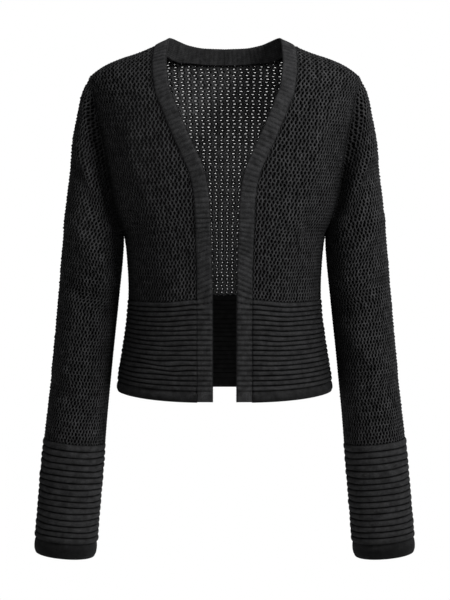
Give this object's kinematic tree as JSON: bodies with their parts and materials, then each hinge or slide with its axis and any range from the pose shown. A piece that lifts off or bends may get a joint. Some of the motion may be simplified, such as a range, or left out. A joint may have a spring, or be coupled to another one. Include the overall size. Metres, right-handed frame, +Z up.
{
  "type": "open-front knit jacket",
  "caption": "Cropped open-front knit jacket with long straight sleeves, V-shaped front band, open-mesh panels, and rolled hem welt and cuffs, hollow as worn.",
  "frame": {"origin": "midway between the two highest points of the neck edge, where the wearer's shoulders hold the jacket", "axes": "+Z up, +X to the wearer's left, the front faces -Y"},
  "size_m": [0.5262, 0.2126, 0.7128],
  "materials": {
    "mesh_yarn": "open mesh knit of matt black cotton yarn",
    "roll_yarn": "close knit of matt black cotton yarn in horizontal rolls",
    "band_yarn": "close ribbed knit of matt black cotton yarn"
  },
  "bodies": {
    "root": {"back_panel": "mesh_yarn", "left_front_panel": "mesh_yarn", "right_front_panel": "mesh_yarn", "left_sleeve_front": "mesh_yarn", "left_sleeve_back": "mesh_yarn", "right_sleeve_front": "mesh_yarn", "right_sleeve_back": "mesh_yarn", "back_welt": "roll_yarn", "left_front_welt": "roll_yarn", "right_front_welt": "roll_yarn", "left_cuff": "roll_yarn", "right_cuff": "roll_yarn", "left_band": "band_yarn", "right_band": "band_yarn"}
  },
  "joints": []
}
